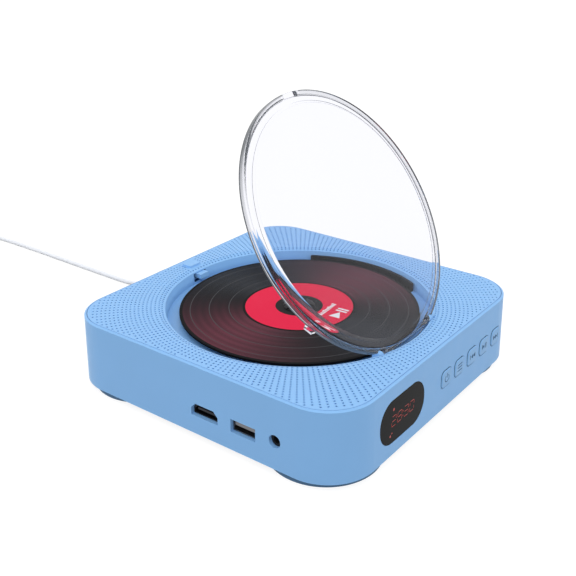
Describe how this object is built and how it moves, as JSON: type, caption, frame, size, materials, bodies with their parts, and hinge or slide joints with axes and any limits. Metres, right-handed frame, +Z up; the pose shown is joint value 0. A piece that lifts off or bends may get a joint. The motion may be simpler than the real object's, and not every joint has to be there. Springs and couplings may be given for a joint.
{
  "type": "wall mounted CD player",
  "caption": "Square CD player for a wall or table: clear hinged lid over a round disc well, perforated top, small display and push buttons on one side, and a power lead.",
  "frame": {"origin": "centre of the square footprint, on the plane that the feet rest on", "axes": "+X is the side with the display and the buttons, and the lid hinges near it; -Y is the side with the sockets; -X is the side with the power inlet; +Z is up out of the disc well"},
  "size_m": [0.4163, 0.1882, 0.1415],
  "materials": {
    "case_blue": "fine satin moulded plastic",
    "button_blue": "satin moulded plastic",
    "lid_clear": "clear polished acrylic",
    "mechanism_black": "matt black moulded plastic",
    "disc_coated": "glossy coated polycarbonate",
    "base_grey": "matt moulded plastic",
    "foot_rubber": "soft matt rubber",
    "damper_rubber": "soft matt rubber",
    "display_black": "dark glossy acrylic",
    "part_black": "black moulded plastic",
    "board_green": "coated glass-fibre board",
    "steel": "bare steel",
    "motor_steel": "plated steel can",
    "speaker_black": "painted basket, paper cone",
    "gear_white": "plain acetal",
    "lens": "coated clear lens",
    "cord_white": "soft white plastic"
  },
  "bodies": {
    "base": {"audio_jack": "part_black", "board_screws": "steel", "bottom_cover": "base_grey", "button_board": "board_green", "case_screws": "steel", "cord_coil": "cord_white", "cord_tie": "cord_white", "cover_screws": "steel", "damper_1": "damper_rubber", "damper_2": "damper_rubber", "damper_3": "damper_rubber", "damper_4": "damper_rubber", "damper_screws": "steel", "display_module": "part_black", "display_window": "display_black", "foot_back_left": "foot_rubber", "foot_back_right": "foot_rubber", "foot_front_left": "foot_rubber", "foot_front_right": "foot_rubber", "gear_pin": "steel", "guide_rods": "steel", "hdmi_socket": "steel", "housing_shell": "case_blue", "lid_switch": "part_black", "main_board": "board_green", "mechanism_chassis": "mechanism_black", "mechanism_cover": "mechanism_black", "power_cord": "cord_white", "power_cord_tail": "cord_white", "power_inlet": "part_black", "power_plug": "cord_white", "sled_motor": "motor_steel", "speaker_back": "speaker_black", "speaker_front": "speaker_black", "spindle_motor": "motor_steel", "strain_relief": "cord_white", "switch_bracket": "base_grey", "tact_switches": "part_black", "top_grille": "case_blue", "usb_plug": "cord_white", "usb_plug_shell": "steel", "usb_socket": "steel"},
    "lid": {"lid": "lid_clear", "hinge_pins": "steel"},
    "disc_unit": {"disc": "disc_coated", "turntable": "mechanism_black", "spindle_shaft": "steel"},
    "sled": {"pickup_sled": "mechanism_black", "pickup_lens": "lens"},
    "sled_gear": {"sled_gear": "gear_white"},
    "sled_pinion": {"sled_pinion": "gear_white"},
    "switch_plunger": {"switch_plunger": "case_blue"},
    "button_power": {"button_power": "button_blue"},
    "button_mode": {"button_mode": "button_blue"},
    "button_previous": {"button_previous": "button_blue"},
    "button_play": {"button_play": "button_blue"},
    "button_next": {"button_next": "button_blue"}
  },
  "joints": [
    {"name": "lid_hinge", "type": "hinge", "parent": "base", "child": "lid", "pos_m": [0.0613, 0, 0.03513], "axis": [0, -1, 0], "range_deg": [0, 57]},
    {"name": "disc_spin", "type": "hinge", "parent": "base", "child": "disc_unit", "pos_m": [0, 0, 0.0332], "axis": [0, 0, 1], "continuous": true},
    {"name": "sled_slide", "type": "slide", "parent": "base", "child": "sled", "axis": [0, 1, 0], "range_m": [0, 0.0335]},
    {"name": "sled_gear_turn", "type": "hinge", "parent": "base", "child": "sled_gear", "pos_m": [-0.02738, 0.033, 0.018], "axis": [0, 0, 1], "range_deg": [0, 405]},
    {"name": "sled_pinion_turn", "type": "hinge", "parent": "base", "child": "sled_pinion", "pos_m": [-0.03068, 0.02086, 0.018], "axis": [0, 0, 1], "range_deg": [-1620, 0]},
    {"name": "switch_press", "type": "slide", "parent": "base", "child": "switch_plunger", "axis": [0, 0, -1], "range_m": [0, 0.0012], "stiffness_N_per_m": 300, "springref_m": -0.0006},
    {"name": "button_power_press", "type": "slide", "parent": "base", "child": "button_power", "axis": [-1, 0, 0], "range_m": [0, 0.0007], "stiffness_N_per_m": 900, "springref_m": -0.0005},
    {"name": "button_mode_press", "type": "slide", "parent": "base", "child": "button_mode", "axis": [-1, 0, 0], "range_m": [0, 0.0007], "stiffness_N_per_m": 900, "springref_m": -0.0005},
    {"name": "button_previous_press", "type": "slide", "parent": "base", "child": "button_previous", "axis": [-1, 0, 0], "range_m": [0, 0.0007], "stiffness_N_per_m": 900, "springref_m": -0.0005},
    {"name": "button_play_press", "type": "slide", "parent": "base", "child": "button_play", "axis": [-1, 0, 0], "range_m": [0, 0.0007], "stiffness_N_per_m": 900, "springref_m": -0.0005},
    {"name": "button_next_press", "type": "slide", "parent": "base", "child": "button_next", "axis": [-1, 0, 0], "range_m": [0, 0.0007], "stiffness_N_per_m": 900, "springref_m": -0.0005}
  ],
  "couplings": [
    {"joint": "sled_gear_turn", "follows": "sled_slide", "rad_per_m": 208.33},
    {"joint": "sled_pinion_turn", "follows": "sled_slide", "rad_per_m": -833.33}
  ]
}
